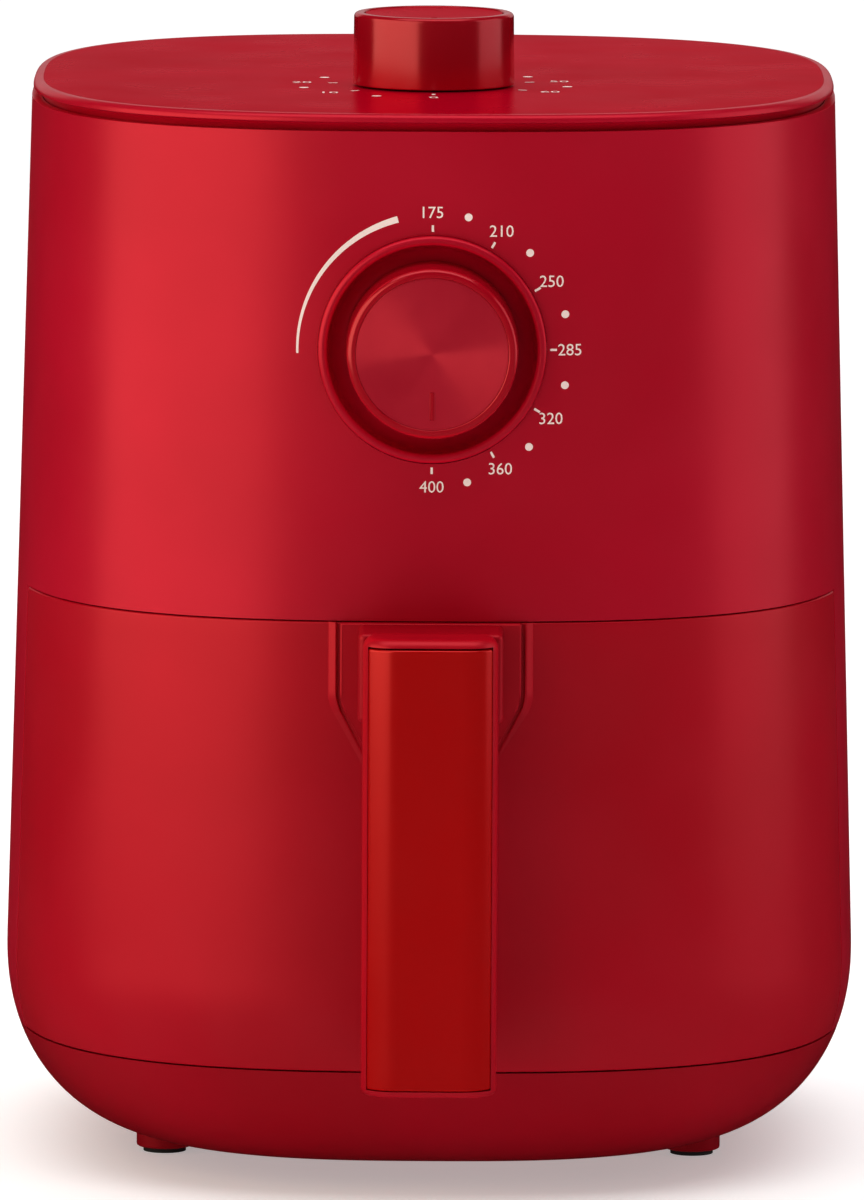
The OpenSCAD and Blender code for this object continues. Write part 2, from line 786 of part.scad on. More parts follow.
module drawer_front() {
    rim_y = -body_b(110);
    color(red) as_mesh() difference() {
        union() {
            body_solid([drawer_low, 36, 41, belly_z, drawer_high]);
            // raised rim round the handle's bracket
            intersection() {
                hull() {
                    surround_plate(2.9, rim_y + 1, rim_y + 0.6);
                    surround_plate(1, rim_y, rim_y - 1.5);
                }
                translate([-50, -150, 0]) cube([100, 100, drawer_high]);
            }
        }
        body_solid([drawer_low + wall, 41, belly_z, drawer_high - wall], wall);
        translate([-150, drawer_y, 0]) cube([300, 300, 300]);
        translate([0, 0, 100]) linear_extrude(100) polygon(pan_outline(2.8));
        surround_plate(shell_gap, -101, -130);
    }
}

// Inner wall of the drawer's front, bent round the pan
module drawer_backing() {
    low = drawer_low + wall + 0.1;
    high = drawer_high - wall - 0.1;
    color(dark) difference() {
        translate([0, 0, low]) linear_extrude(high - low) union() {
            difference() {
                polygon(pan_outline(2.6));
                polygon(pan_outline(0.7));
                translate([-150, drawer_y]) square([300, 300]);
            }
            for (s = [-1, 1]) translate([s * 90.1 - 5.6, drawer_y - 2.4]) square([11.2, 2.4]);
        }
        for (x = [-32, 32]) translate([x, pan_front - 5, 122]) rotate([-90, 0, 0])
            cylinder(r = 2.1, h = 10, $fn = 24);
    }
}

module drawer_pan() {
    outer = [[7, 0], [3.4, 1.4], [1.4, 3.6], [0.6, 7], [0, pan_h - 3], [0, pan_h]];
    color(dark) as_mesh() difference() {
        loft([for (s = outer) lift(pan_outline(-s[0]), pan_floor_z + s[1])]);
        loft(concat(
            [for (s = outer) if (s[1] < pan_h) lift(pan_outline(-s[0] - pan_t), pan_floor_z + pan_t + s[1])],
            [lift(pan_outline(-pan_t), pan_rim_z + 1)]
        ));
        for (x = [-32, 32]) translate([x, pan_front - 5, 122]) rotate([-90, 0, 0])
            cylinder(r = 2.1, h = 10, $fn = 24);
    }
}

module pan_rivets() {
    color(steel) for (x = [-32, 32]) translate([x, pan_front + pan_t + 0.25, 122]) {
        rotate([-90, 0, 0]) cylinder(r = 4, h = 1.2, $fn = 32);
        rotate([90, 0, 0]) cylinder(r = 2, h = 4.6, $fn = 32);
        translate([0, -4.4, 0]) rotate([90, 0, 0]) cylinder(r = 3.4, h = 1, $fn = 32);
    }
}

// ---- Handle ----

handle_back_y = -handle_reach + handle_t;
cover_depth = 3;

module handle_outline(half, front, back, r) { polygon(round_rect(half, front, back, r, 5)); }

// Plate and neck that carry the handle, fitted from behind the drawer's front
module handle_bracket() {
    lip_y = -body_b(drawer_high) + wall + 1.2;
    color(red) difference() {
        union() {
            difference() {
                union() {
                    surround_plate(0, lip_y, bracket_y - 3.2);
                    surround_plate(2.4, lip_y + 2, lip_y);
                }
                translate([-60, -200, drawer_high - wall - 0.2]) cube([120, 300, 20]);
            }
            translate([-21.9, bracket_y - 3.2, drawer_high - wall - 1]) cube([43.8, 6.4, wall + 0.6]);
            translate([-neck_w / 2, handle_back_y, handle_top_z - neck_h])
                cube([neck_w, lip_y - handle_back_y, neck_h - 2.6]);
            translate([-neck_w / 2, handle_back_y, handle_top_z - 4])
                cube([neck_w, bracket_y - handle_back_y, 4]);
        }
        for (z = handle_screw_levels) translate([0, lip_y + 3, z]) rotate([90, 0, 0])
            cylinder(r = 2.1, h = 60, $fn = 24);
        for (z = handle_screw_levels) translate([0, lip_y + 3, z]) rotate([90, 0, 0])
            cylinder(r = 4, h = 14, $fn = 32);
    }
}

handle_screw_levels = [handle_top_z - 7.5, handle_top_z - 16.5];

module handle_screws() {
    lip_y = -body_b(drawer_high) + wall + 1.2;
    color(steel) for (z = handle_screw_levels)
        translate([0, lip_y - 10.8, z]) rotate([-90, 0, 0]) screw(3.8, 2.2, 2, 20);
}

module handle_frame() {
    half = handle_w / 2;
    front = -handle_reach + 0.6;
    color(red) difference() {
        translate([0, 0, handle_bottom_z]) linear_extrude(handle_top_z - handle_bottom_z)
            handle_outline(half, front, handle_back_y - tiny, 3.6);
        translate([0, 0, handle_bottom_z + 1.6])
            linear_extrude(handle_top_z - handle_bottom_z - 3.6)
            handle_outline(half - 1.2, front - 10, front + cover_depth, 2);
        for (z = handle_screw_levels) translate([0, handle_back_y + 1, z]) rotate([90, 0, 0])
            cylinder(r = 2.1, h = handle_t - cover_depth, $fn = 24);
    }
}

module handle_cover() {
    half = handle_w / 2 - 1.4;
    front = -handle_reach;
    color("#a80a10") translate([0, 0, handle_bottom_z + 1.8])
        linear_extrude(handle_top_z - handle_bottom_z - 4)
        handle_outline(half, front, front + 0.6 + cover_depth - tiny, 1.7);
}

// ---- Tray ----

tray_hx = pan_w / 2 - pan_t - 3.4;
tray_hy = pan_d / 2 - pan_t - 3.4;

module crisper_tray() {
    pitch = 13;
    span = 5;
    color("#3a3a3c") translate([0, oven_y, tray_z]) difference() {
        union() {
            linear_extrude(tray_t)
                polygon(round_rect(tray_hx, -tray_hy, tray_hy, pan_r - 4));
            translate([0, 0, -4]) linear_extrude(4.1) difference() {
                polygon(round_rect(tray_hx, -tray_hy, tray_hy, pan_r - 4));
                polygon(round_rect(tray_hx - 1.6, 1.6 - tray_hy, tray_hy - 1.6, pan_r - 5.6));
            }
        }
        translate([0, 0, -5]) cylinder(r = 11, h = 10, $fn = 48);
        for (i = [-span:span], j = [-span:span])
            if (norm([i, j]) > 1.5 && norm([i, j]) < 5.9)
                translate([i * pitch, j * pitch, -5]) cylinder(d = tray_hole, h = 10, $fn = 24);
    }
}

// Silicone bumpers clipped over the tray's edge, which stand on the pan's floor
module tray_bumpers() {
    foot = tray_z - pan_floor_z - pan_t - 0.1;
    color(black) for (sx = [-1, 1], sy = [-1, 1])
        translate([sx * (tray_hx - 9.8), oven_y + sy * (tray_hy - 34), tray_z - foot])
            cylinder(r = 5, h = foot - 0.05, $fn = 32);
}

// ---- Nodes ----

place() outer_housing();
place() base_tub();
place() foot_pads();
place() base_deck();
place() base_screws();
place() deck_screws();
place() front_bulkhead();
place() top_cover();
place() rear_grille();
place() exhaust_duct();
place() cord_gland();
place() terminal_block();
place() heating_chamber();
place() chamber_wrap();
place() chamber_floor();
place() glide_strips();
place() element_guard();
place() heating_element();
place() element_brackets();
place() heat_shield();
place() thermal_cutout();
place() motor_bracket();
place() motor_screws();
place() motor();
place() motor_shaft();
place() fan_impeller();
place() impeller_nut();
place() cooling_fan();
place() timer_mechanism();
place() timer_bell();
place() timer_shaft();
place() timer_knob();
place() timer_knob_cap();
place() dial_bezel();
place() thermostat();
place() capillary_tube();
place() thermostat_shaft();
place() thermostat_knob();
place() thermostat_knob_face();
place() safety_switch();
place() switch_plunger();
place() drawer_front();
place() drawer_backing();
place() drawer_pan();
place() pan_rivets();
place() handle_bracket();
place() handle_screws();
place() handle_frame();
place() handle_cover();
place() crisper_tray();
place() tray_bumpers();
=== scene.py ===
import math

import bmesh
import bpy
from mathutils import Euler, Matrix, Vector

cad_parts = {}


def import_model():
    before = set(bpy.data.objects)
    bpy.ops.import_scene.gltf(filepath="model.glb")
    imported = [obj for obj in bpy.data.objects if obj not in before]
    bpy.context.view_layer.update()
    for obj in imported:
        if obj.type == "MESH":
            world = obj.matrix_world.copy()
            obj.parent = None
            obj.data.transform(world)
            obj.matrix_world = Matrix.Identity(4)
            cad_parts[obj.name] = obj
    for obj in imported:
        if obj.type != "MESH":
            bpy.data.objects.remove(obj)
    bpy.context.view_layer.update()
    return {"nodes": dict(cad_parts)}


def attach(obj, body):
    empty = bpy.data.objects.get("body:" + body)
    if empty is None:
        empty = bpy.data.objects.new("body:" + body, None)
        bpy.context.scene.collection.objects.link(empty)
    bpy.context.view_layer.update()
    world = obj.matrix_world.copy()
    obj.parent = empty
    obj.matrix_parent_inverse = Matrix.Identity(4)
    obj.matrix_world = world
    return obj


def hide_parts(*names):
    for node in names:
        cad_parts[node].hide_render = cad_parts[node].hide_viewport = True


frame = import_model()

# ---- Sizes, in millimetres ----
# x and y are measured from the middle of the body's plan, and z from the table.
MM = 0.001
ORIGIN_Y = 13.5  # y of that middle in the model's own frame

# Body
BELLY_W, RIM_W, UNDERSIDE_W = 211.0, 199.2, 128.0
UNDERSIDE_Z, BELLY_Z, RIM_Z = 5.0, 50.0, 261.6
BELLY_BLEND = 7.0  # the bowl and the wall above it are blended this far below and above the belly
HALF_EXTRA = 12.0  # how much further than half its width the plan reaches to the front and the back
PLAN_POWER, CURVE_POWER = 2.8, 2.17  # superellipse powers of the plan and of the bowl's curve
WALL = 2.4

# Edges along the seams between the housing, the drawer and the base
HOUSING_LOW_Z, SOFFIT_Z, HOUSING_SEAM_Y = 32.75, 143.15, -49.4
DRAWER_LOW, DRAWER_HIGH, DRAWER_SEAM_Y = 32.75, 142.85, -49.8
TUB_TOP_Z = 32.45

# Lid
COVER_Z, COVER_T, COVER_INSET = 266.0, 2.4, 0.2
COVER_LOW = COVER_Z - COVER_T
SKIRT_IN, SKIRT_OUT, SKIRT_H = 5.2, 3.4, 8.0  # the skirt's faces, in from the lid's edge, and its height
EDGE_IN, LEDGE_Z, EDGE_GAP = 2.6, COVER_Z - 1.3, 0.03  # where the edge piece meets the plate
CROWN_FALL, CROWN_REACH = 0.27, 20.0

# Base
FOOT_SPOTS = [(x, y) for x in (-65.5, 65.5) for y in (-36, 52)]
BOSS_SPOTS = [(x, y) for x in (-50, 50) for y in (-34, 58)]
BOSS_BORE_R = 4.2

# Rear of the housing
GRILLE_HALF, GRILLE_LOW, GRILLE_HIGH = 38, 150, 204
GLAND_Z, GLAND_R = 60.0, 7.2

# Thermostat dial and timer knob
DIAL_Z, BEZEL_R, DIAL_R, DIAL_OUT = 209.0, 27.6, 20.5, 10.4
DIAL_FACE_R = DIAL_R - 2.1
TIMER_Y, TIMER_R, TIMER_TOP = -36.0, 19.9, 284.1

# Handle
HANDLE_HALF, NECK_HALF, NECK_H = 16.3, 17.4, 22.0
HANDLE_FRONT, HANDLE_BACK = -147.5, -135.3
HANDLE_LOW, HANDLE_TOP = 31.5, 142.7
NECK_ROOT_Y = -116.7
PLATE_HALF, PLATE_BEND_Z = 21.9, 123.4
PLATE_END_X, PLATE_END_Z = 9.0, 99.5
PLATE_SUNK, PLATE_PROUD = 0.6, 2.4  # below the drawer's face at its lower end, above it at its top
PLATE_FADE_Z, PLATE_FADE_H = 115.5, 9.0

# Pan
OVEN_Y = -9.0
PAN_W, PAN_D, PAN_H, PAN_R, PAN_Z, PAN_T = 164.0, 176.0, 97.0, 42.0, 38.0, 1.4

REAR_COLS, FRONT_COLS = 170, 120


# ---- The body's form ----


def half_width(z):
    """Half the body's width at a height: a bowl below the belly and a tapering wall above it."""
    blend_low, blend_high = BELLY_Z - BELLY_BLEND, BELLY_Z + BELLY_BLEND
    if z < blend_low:
        fall = (BELLY_Z - z) / (BELLY_Z - UNDERSIDE_Z)
        bulge = max(0.0, 1 - fall**CURVE_POWER) ** (1 / CURVE_POWER)
        return UNDERSIDE_W / 2 + (BELLY_W - UNDERSIDE_W) / 2 * bulge
    slope = (RIM_W - BELLY_W) / 2 / (RIM_Z - BELLY_Z)
    if z > blend_high:
        return BELLY_W / 2 + slope * (z - BELLY_Z)
    just_below, step = blend_low - 0.01, 0.5
    low_a, high_a = half_width(just_below), BELLY_W / 2 + slope * BELLY_BLEND
    low_slope = (half_width(just_below) - half_width(just_below - step)) / step
    h = blend_high - blend_low
    t = (z - blend_low) / h
    return (
        low_a * (2 * t**3 - 3 * t**2 + 1)
        + low_slope * h * (t**3 - 2 * t**2 + t)
        + high_a * (3 * t**2 - 2 * t**3)
        + slope * h * (t**3 - t**2)
    )


def plan_point(a, t, z):
    """Point of the plan with half-width a in direction t, in radians."""
    b = a + HALF_EXTRA
    c, s = math.cos(t), math.sin(t)
    r = (abs(c / a) ** PLAN_POWER + abs(s / b) ** PLAN_POWER) ** (-1 / PLAN_POWER)
    return (r * c, r * s, z)


def plan_x(a, y):
    """The x at which the plan with half-width a passes y."""
    return a * (1 - abs(y / (a + HALF_EXTRA)) ** PLAN_POWER) ** (1 / PLAN_POWER)


def surface_y(x, z):
    """The y of the body's front surface at x and z."""
    a = half_width(z)
    return -(a + HALF_EXTRA) * (1 - abs(x / a) ** PLAN_POWER) ** (1 / PLAN_POWER)


def spread(low, high, count):
    """Evenly spaced numbers from low to high, with count steps between them."""
    return [low + (high - low) * i / count for i in range(count + 1)]


def sector(a, seam_y, z, front):
    """Points round the rear or the front part of the plan, from the right seam to the left one."""
    start = math.atan2(seam_y, plan_x(a, seam_y))
    sweep = (-math.pi if front else math.pi) - 2 * start
    cols = FRONT_COLS if front else REAR_COLS
    return [plan_point(a, start + sweep * i / cols, z) for i in range(cols + 1)]


def round_turns(cols):
    return [2 * math.pi * i / cols for i in range(cols)]


def pan_hit(out, t, centre_y=0.0):
    """Point where the ray in direction t from (0, centre_y) meets the pan's outline, grown by out."""
    half, r = PAN_W / 2 + out, PAN_R + out
    front, back = OVEN_Y - PAN_D / 2 - out, OVEN_Y + PAN_D / 2 + out
    c, s = math.cos(t), math.sin(t)
    low, high = 0.0, 400.0
    for _ in range(40):
        mid = (low + high) / 2
        x, y = abs(mid * c), centre_y + mid * s
        dx = max(0.0, x - (half - r))
        dy = max(0.0, (front + r) - y, y - (back - r))
        inside = math.hypot(dx, dy) < r
        low, high = (mid, high) if inside else (low, mid)
    return low * c, centre_y + low * s


def pan_sector(out, start):
    """Points round the front of the pan's outline, from direction start to the one that mirrors it."""
    return [pan_hit(out, start + (-math.pi - 2 * start) * i / FRONT_COLS) for i in range(FRONT_COLS + 1)]


# ---- Outlines ----


def arc(cx, cy, r, start, end, steps):
    """Points of an arc, angles in degrees."""
    turns = [math.radians(a) for a in spread(start, end, steps)]
    return [(cx + r * math.cos(a), cy + r * math.sin(a)) for a in turns]


def circle(r, count):
    return arc(0, 0, r, 0, 360 - 360 / count, count - 1)


def rectangle(x0, x1, y0, y1):
    return [(x0, y0), (x1, y0), (x1, y1), (x0, y1)]


# ---- Mesh helpers ----


def stay(p):
    return p


def shifted(x, y):
    """A move along the table."""
    return lambda p: (p[0] + x, p[1] + y, p[2])


def facing_front(y, z):
    """A move that turns a shape drawn along +Z to point out of the front at (0, y, z)."""
    return lambda p: (p[0], y - p[2], z + p[1])


class Shape:
    """Faces gathered from patches. Points that coincide are welded when the piece is made."""

    def __init__(self):
        self.verts, self.faces = [], []

    def face(self, points):
        base = len(self.verts)
        self.verts.extend(points)
        self.faces.append(list(range(base, base + len(points))))

    def grid(self, rows, wrap=False):
        """A sheet over rows of points; wrap joins the last point of each row to its first."""
        base, n = len(self.verts), len(rows[0])
        for row in rows:
            self.verts.extend(row)
        for j in range(len(rows) - 1):
            here, above = base + j * n, base + (j + 1) * n
            for i in range(n if wrap else n - 1):
                k = (i + 1) % n
                self.faces.append([here + i, here + k, above + k, above + i])

    def loops(self, rows):
        """Closed loops joined one to the next, with both ends capped."""
        self.grid(rows, wrap=True)
        self.face(rows[0])
        self.face(rows[-1])

    def lathe(self, profile, cols, move):
        """A profile of (radius, height) points turned about the z axis, then moved."""
        rows = []
        for r, z in profile:
            rows.append([move((r * math.cos(a), r * math.sin(a), z)) for a in round_turns(cols)])
        self.grid(rows, wrap=True)

    def prism(self, outline, low, high, move=stay):
        self.loops([[move((x, y, z)) for x, y in outline] for z in (low, high)])


def prism(outline, low, high, move=stay):
    shape = Shape()
    shape.prism(outline, low, high, move)
    return shape


def clean(mesh):
    """Welds the patches and turns all faces outwards."""
    bm = bmesh.new()
    bm.from_mesh(mesh)
    bmesh.ops.remove_doubles(bm, verts=bm.verts, dist=2e-6)
    bmesh.ops.dissolve_degenerate(bm, edges=bm.edges, dist=1e-6)
    bmesh.ops.recalc_face_normals(bm, faces=bm.faces)
    bm.to_mesh(mesh)
    bm.free()


def linked_object(name, data):
    obj = bpy.data.objects.new(name, data)
    bpy.context.scene.collection.objects.link(obj)
    return obj


def raw_object(name, shape):
    mesh = bpy.data.meshes.new(name)
    points = [(x * MM, (y + ORIGIN_Y) * MM, z * MM) for x, y, z in shape.verts]
    mesh.from_pydata(points, [], shape.faces)
    clean(mesh)
    return linked_object(name, mesh)


def settle(obj):
    """Applies the object's modifiers to its mesh."""
    graph = bpy.context.evaluated_depsgraph_get()
    old = obj.data
    obj.data = bpy.data.meshes.new_from_object(obj.evaluated_get(graph), depsgraph=graph)
    obj.modifiers.clear()
    obj.data.name = obj.name
    bpy.data.meshes.remove(old)


def cut(obj, shape):
    """Takes a shape away from an object."""
    tool = raw_object("cutter", shape)
    step = obj.modifiers.new("cut", "BOOLEAN")
    step.operation, step.solver, step.object = "DIFFERENCE", "EXACT", tool
    settle(obj)
    mesh = tool.data
    bpy.data.objects.remove(tool)
    bpy.data.meshes.remove(mesh)


def finish_piece(obj, material, body, slot, replaces=(), bevel=0.0, segments=3, angle=50):
    """Bevels and shades an object, gives it its material, and puts it on its body."""
    sharp = math.radians(42)
    if bevel:
        step = obj.modifiers.new("edges", "BEVEL")
        step.width, step.segments = bevel * MM, segments
        step.limit_method, step.angle_limit = "ANGLE", math.radians(angle)
        step.miter_outer = "MITER_ARC"
        settle(obj)
    mesh = obj.data
    bm = bmesh.new()
    bm.from_mesh(mesh)
    for edge in bm.edges:
        edge.smooth = not (len(edge.link_faces) == 2 and edge.calc_face_angle(0) > sharp)
    for face in bm.faces:
        face.smooth = True
    bm.to_mesh(mesh)
    bm.free()
    weigh = obj.modifiers.new("normals", "WEIGHTED_NORMAL")
    weigh.keep_sharp = True
    settle(obj)
    obj.data.materials.clear()
    obj.data.materials.append(material)
    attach(obj, body)
    if replaces:
        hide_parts(*replaces)


def piece(name, shape, material, body, slot, replaces=(), **edges):
    finish_piece(raw_object(name, shape), material, body, slot, replaces, **edges)


# ---- Materials ----


class Look:
    """A Principled material whose colour, roughness and bump come from noise."""

    def __init__(self, name, metallic=0.0):
        self.mat = bpy.data.materials.new(name)
        self.mat.use_nodes = True
        self.tree = self.mat.node_tree
        self.shader = self.tree.nodes["Principled BSDF"]
        self.shader.inputs["Metallic"].default_value = metallic
        self.coords = self.tree.nodes.new("ShaderNodeTexCoord")
        self.normal = None

    def set(self, **values):
        for key, value in values.items():
            self.shader.inputs[key.replace("_", " ")].default_value = value
        return self

    def noise(self, scale, detail=3.0, stretch=None):
        node = self.tree.nodes.new("ShaderNodeTexNoise")
        node.inputs["Scale"].default_value = scale
        node.inputs["Detail"].default_value = detail
        source = self.coords.outputs["Object"]
        if stretch:
            mapping = self.tree.nodes.new("ShaderNodeMapping")
            mapping.inputs["Scale"].default_value = stretch
            self.tree.links.new(source, mapping.inputs["Vector"])
            source = mapping.outputs["Vector"]
        self.tree.links.new(source, node.inputs["Vector"])
        return node.outputs["Fac"]

    def colour(self, low, high, scale=25, start=0.35, end=0.65):
        node = self.tree.nodes.new("ShaderNodeValToRGB")
        for stop, place, colour in zip(node.color_ramp.elements, (start, end), (low, high)):
            stop.position, stop.color = place, (*colour, 1)
        self.tree.links.new(self.noise(scale), node.inputs["Fac"])
        self.tree.links.new(node.outputs["Color"], self.shader.inputs["Base Color"])
        return self

    def rough(self, low, high, scale=60, stretch=None):
        node = self.tree.nodes.new("ShaderNodeMapRange")
        node.inputs["From Min"].default_value = 0.3
        node.inputs["From Max"].default_value = 0.7
        node.inputs["To Min"].default_value = low
        node.inputs["To Max"].default_value = high
        self.tree.links.new(self.noise(scale, stretch=stretch), node.inputs["Value"])
        self.tree.links.new(node.outputs["Result"], self.shader.inputs["Roughness"])
        return self

    def bump(self, source, strength, distance):
        """Adds a bump of a height in metres on top of those already there."""
        node = self.tree.nodes.new("ShaderNodeBump")
        node.inputs["Strength"].default_value = strength
        node.inputs["Distance"].default_value = distance
        self.tree.links.new(source, node.inputs["Height"])
        if self.normal:
            self.tree.links.new(self.normal, node.inputs["Normal"])
        self.normal = node.outputs["Normal"]
        self.tree.links.new(self.normal, self.shader.inputs["Normal"])
        return self


def plastic(name, low, high, rough=(0.3, 0.36), strength=0.25, depth=0.00003, sheen=0.0,
            white_gloss=0.5, edge=(1, 1, 1)):
    """Moulded plastic; sheen is the share of a lacquer's own coloured lustre."""
    look = Look(name, metallic=sheen).colour(low, high, 18).rough(*rough, 45)
    look.bump(look.noise(2600, 2.0), strength, depth)
    look.bump(look.noise(14, 1.0), 0.06, 0.0008)
    return look.set(IOR=1.5, Specular_IOR_Level=white_gloss, Specular_Tint=(*edge, 1)).mat


def lacquer(name, low, high, sheen=0.42, **finish):
    """The red plastics, which differ in gloss and in depth of colour; the darker copies for the drawer and
    the base are painted shade.
    """
    return plastic(name, low, high, sheen=sheen, **finish)


def sheet_metal(name, low, high, rough=(0.25, 0.4), stretch=(1, 1, 30)):
    look = Look(name, metallic=1.0).colour(low, high, 30).rough(*rough, 80, stretch)
    look.bump(look.noise(350, 2.0, stretch), 0.15, 0.00005)
    return look.mat


def nonstick():
    look = Look("dark non-stick coating")
    look.colour((0.016, 0.016, 0.017), (0.03, 0.03, 0.031), 900, start=0.45, end=0.75)
    look.rough(0.34, 0.46, 120)
    look.bump(look.noise(1500, 2.0), 0.25, 0.00004)
    return look.mat


def spun_metal():
    """Metal turned on a lathe: its highlights fan out from the centre."""
    look = Look("spun red aluminium", metallic=0.6)
    look.colour((0.8, 0.012, 0.04), (0.88, 0.02, 0.05), 60)
    look.rough(0.36, 0.4, 200)
    tangent = look.tree.nodes.new("ShaderNodeTangent")
    tangent.direction_type, tangent.axis = "RADIAL", "Y"
    look.tree.links.new(tangent.outputs["Tangent"], look.shader.inputs["Tangent"])
    return look.set(Anisotropic=1.0, Anisotropic_Rotation=0.25, Specular_IOR_Level=1.0).mat


RED = (0.62, 0.001, 0.02), (0.68, 0.0015, 0.025)
# The drawer's red is the shell's red made darker: painted shade for the handle's shade on the drawer's face
DRAWER_RED_SHADED = (0.57, 0.0005, 0.012), (0.62, 0.001, 0.016)
# Darker copy of the shell's red: painted shade for the base and the handle's neck, which sit in shade
SHADE_DARKENED_RED = (0.46, 0.0005, 0.01), (0.5, 0.001, 0.013)
KNOB_RED = (0.55, 0.0015, 0.012), (0.6, 0.002, 0.016)
STRIP_RED = (0.71, 0.0001, 0.0003), (0.75, 0.0002, 0.0005)
EVEN = (1, 1, 1)  # grain of a metal with no rolling direction

MATS = {
    "red_shell": lacquer("red satin plastic", *RED),
    "red_lid": lacquer("red lid plastic", *RED, sheen=0.68, rough=(0.26, 0.31), strength=0.08,
                       white_gloss=0.0, edge=(1, 0.16, 0.2)),
    "red_edge": lacquer("red lid edge plastic", *RED, rough=(0.3, 0.35)),
    # painted shade: a darker copy of the shell's red
    "red_drawer": lacquer("red drawer plastic, darkened as painted shade", *DRAWER_RED_SHADED),
    # painted shade: the same red plastic, made darker
    "red_painted_shade": lacquer("red plastic darkened as painted shade", *SHADE_DARKENED_RED, white_gloss=0.35),
    "red_knob": lacquer("red knob plastic", *KNOB_RED, rough=(0.17, 0.22), white_gloss=1.0),
    "red_handle": lacquer("deep red strip", *STRIP_RED, sheen=0.53, rough=(0.2, 0.24), white_gloss=1.0),
    "rubber": plastic("black rubber", (0.012, 0.012, 0.012), (0.02, 0.02, 0.02), (0.7, 0.85), 0.5),
    "dark": plastic("black grained plastic", (0.018, 0.018, 0.019), (0.026, 0.026, 0.027), (0.42, 0.55),
                    0.5, 0.00006),
    "white": plastic("white plastic", (0.62, 0.61, 0.58), (0.7, 0.69, 0.66), (0.35, 0.45)),
    "print": plastic("pale print", (0.9, 0.66, 0.62), (0.98, 0.78, 0.73), (0.5, 0.6)),
    "galvanised": sheet_metal("bright sheet steel", (0.42, 0.43, 0.45), (0.56, 0.57, 0.59)),
    "heater": sheet_metal("heat-darkened steel", (0.09, 0.085, 0.085), (0.16, 0.145, 0.14), (0.35, 0.5)),
    "screw": sheet_metal("zinc-plated steel", (0.45, 0.45, 0.46), (0.55, 0.55, 0.55), (0.25, 0.35), EVEN),
    "shaft": sheet_metal("ground steel", (0.5, 0.5, 0.51), (0.6, 0.6, 0.61), (0.18, 0.28)),
    "fan": sheet_metal("mill aluminium", (0.55, 0.56, 0.57), (0.65, 0.66, 0.67), (0.3, 0.42), EVEN),
    "motor": sheet_metal("motor laminations", (0.2, 0.2, 0.21), (0.3, 0.3, 0.31), (0.4, 0.55), (1, 1, 40)),
    "copper": sheet_metal("copper tube", (0.62, 0.27, 0.15), (0.72, 0.34, 0.2), (0.25, 0.35), EVEN),
    "nonstick": nonstick(),
    "spun": spun_metal(),
}

# The CAD nodes that keep their own shape, by the material that each gets
NODES_BY_LOOK = {
    "rubber": ("foot_pads", "cord_gland", "tray_bumpers"),
    "dark": ("base_deck", "front_bulkhead", "rear_grille", "thermal_cutout", "cooling_fan", "safety_switch"),
    "white": ("terminal_block", "glide_strips", "switch_plunger"),
    "galvanised": ("exhaust_duct", "heating_chamber", "chamber_wrap", "chamber_floor", "element_guard",
                   "element_brackets", "heat_shield", "motor_bracket", "timer_mechanism", "timer_bell",
                   "thermostat"),
    "screw": ("base_screws", "deck_screws", "motor_screws", "impeller_nut", "handle_screws"),
    "shaft": ("motor_shaft", "timer_shaft", "thermostat_shaft", "pan_rivets"),
    "heater": ("heating_element",),
    "motor": ("motor",),
    "fan": ("fan_impeller",),
    "copper": ("capillary_tube",),
    "nonstick": ("crisper_tray",),
}
for look, nodes in NODES_BY_LOOK.items():
    for node in nodes:
        for slot in frame["nodes"][node].material_slots:
            slot.material = MATS[look]


# ---- Housing ----


def shell_rows(levels, inset, front):
    return [sector(half_width(z) - inset, HOUSING_SEAM_Y, z, front) for z in levels]


def outer_housing():
    """Shell with the drawer's opening, and with holes for the dial, the grille and the gland."""
    low = spread(HOUSING_LOW_Z, 44, 8)[:-1] + spread(44, 60, 8)[:-1] + spread(60, SOFFIT_Z, 14)
    high = spread(SOFFIT_Z, RIM_Z, 20)
    shape = Shape()
    for inset in (0, WALL):
        shape.grid(shell_rows(low, inset, False))
        shape.grid(shell_rows(high, inset, False))
        shape.grid(shell_rows(high, inset, True))
    for level, front in ((RIM_Z, False), (RIM_Z, True), (SOFFIT_Z, True), (HOUSING_LOW_Z, False)):
        shape.grid([shell_rows([level], inset, front)[0] for inset in (0, WALL)])
    for end in (0, -1):
        shape.grid([[row[end] for row in shell_rows(low, inset, False)] for inset in (0, WALL)])
    shell = raw_object("housing_shell", shape)

    near, far = 90, 130  # the cutters' ends, on both sides of the wall
    cut(shell, prism(circle(BEZEL_R + 0.1, 120), near, far, facing_front(0, DIAL_Z)))
    cut(shell, prism(rectangle(-GRILLE_HALF, GRILLE_HALF, near, far), GRILLE_LOW, GRILLE_HIGH))
    cut(shell, prism(circle(GLAND_R, 48), -far, -near, facing_front(0, GLAND_Z)))
    finish_piece(shell, MATS["red_shell"], "housing", "red_shell", ["outer_housing"], bevel=0.8)


def soffit():
    """Rim of the housing over the drawer, with the pan's opening."""
    seam_y = HOUSING_SEAM_Y - 0.2
    wall = sector(half_width(SOFFIT_Z) - WALL - 0.02, seam_y, 0, True)
    opening = pan_sector(1, math.atan2(seam_y, PAN_W / 2 + 1))
    low, high = SOFFIT_Z, SOFFIT_Z + WALL
    shape = Shape()
    shape.loops([[(x, y, low), (x, y, high), (px, py, high), (px, py, low)]
                 for (x, y, _), (px, py) in zip(wall, opening)])
    piece("soffit_rim", shape, MATS["red_shell"], "housing", "red_shell", bevel=0.5, segments=2)


